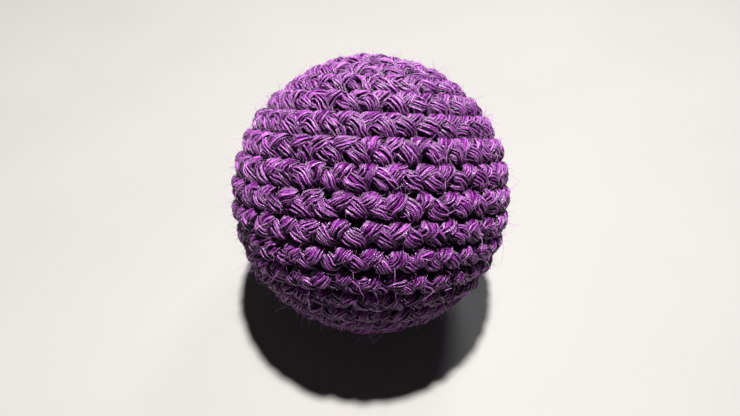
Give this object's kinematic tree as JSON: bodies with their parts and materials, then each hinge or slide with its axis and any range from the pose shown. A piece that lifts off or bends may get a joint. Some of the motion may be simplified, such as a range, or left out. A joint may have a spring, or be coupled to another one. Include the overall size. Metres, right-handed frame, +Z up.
{
  "type": "juggling ball",
  "caption": "Soft crocheted juggling ball: a purple yarn cover worked in rounds over a sewn, filled pouch, resting on its own small flat.",
  "frame": {"origin": "centre of the small flat that the soft ball rests on", "axes": "+Z straight up from the surface the ball rests on, through the ball's centre; the crochet axis lies in the YZ plane, and its gathered end leans 38 degrees from +Z towards +Y"},
  "size_m": [0.0638, 0.064, 0.0629],
  "materials": {
    "purple_yarn": "soft mercerised cotton",
    "white_wadding": "matte",
    "pouch_cloth": "matte unbleached cotton",
    "sewing_thread": "matte",
    "dried_peas": "matte"
  },
  "bodies": {
    "root": {"crochet_cover": "purple_yarn", "start_tail": "purple_yarn", "closing_yarn": "purple_yarn", "wadding": "white_wadding", "pouch_panel_front": "pouch_cloth", "pouch_panel_right": "pouch_cloth", "pouch_panel_back": "pouch_cloth", "pouch_panel_left": "pouch_cloth", "pouch_seam_thread": "sewing_thread", "pouch_closing_thread": "sewing_thread", "filling_peas": "dried_peas"}
  },
  "joints": []
}
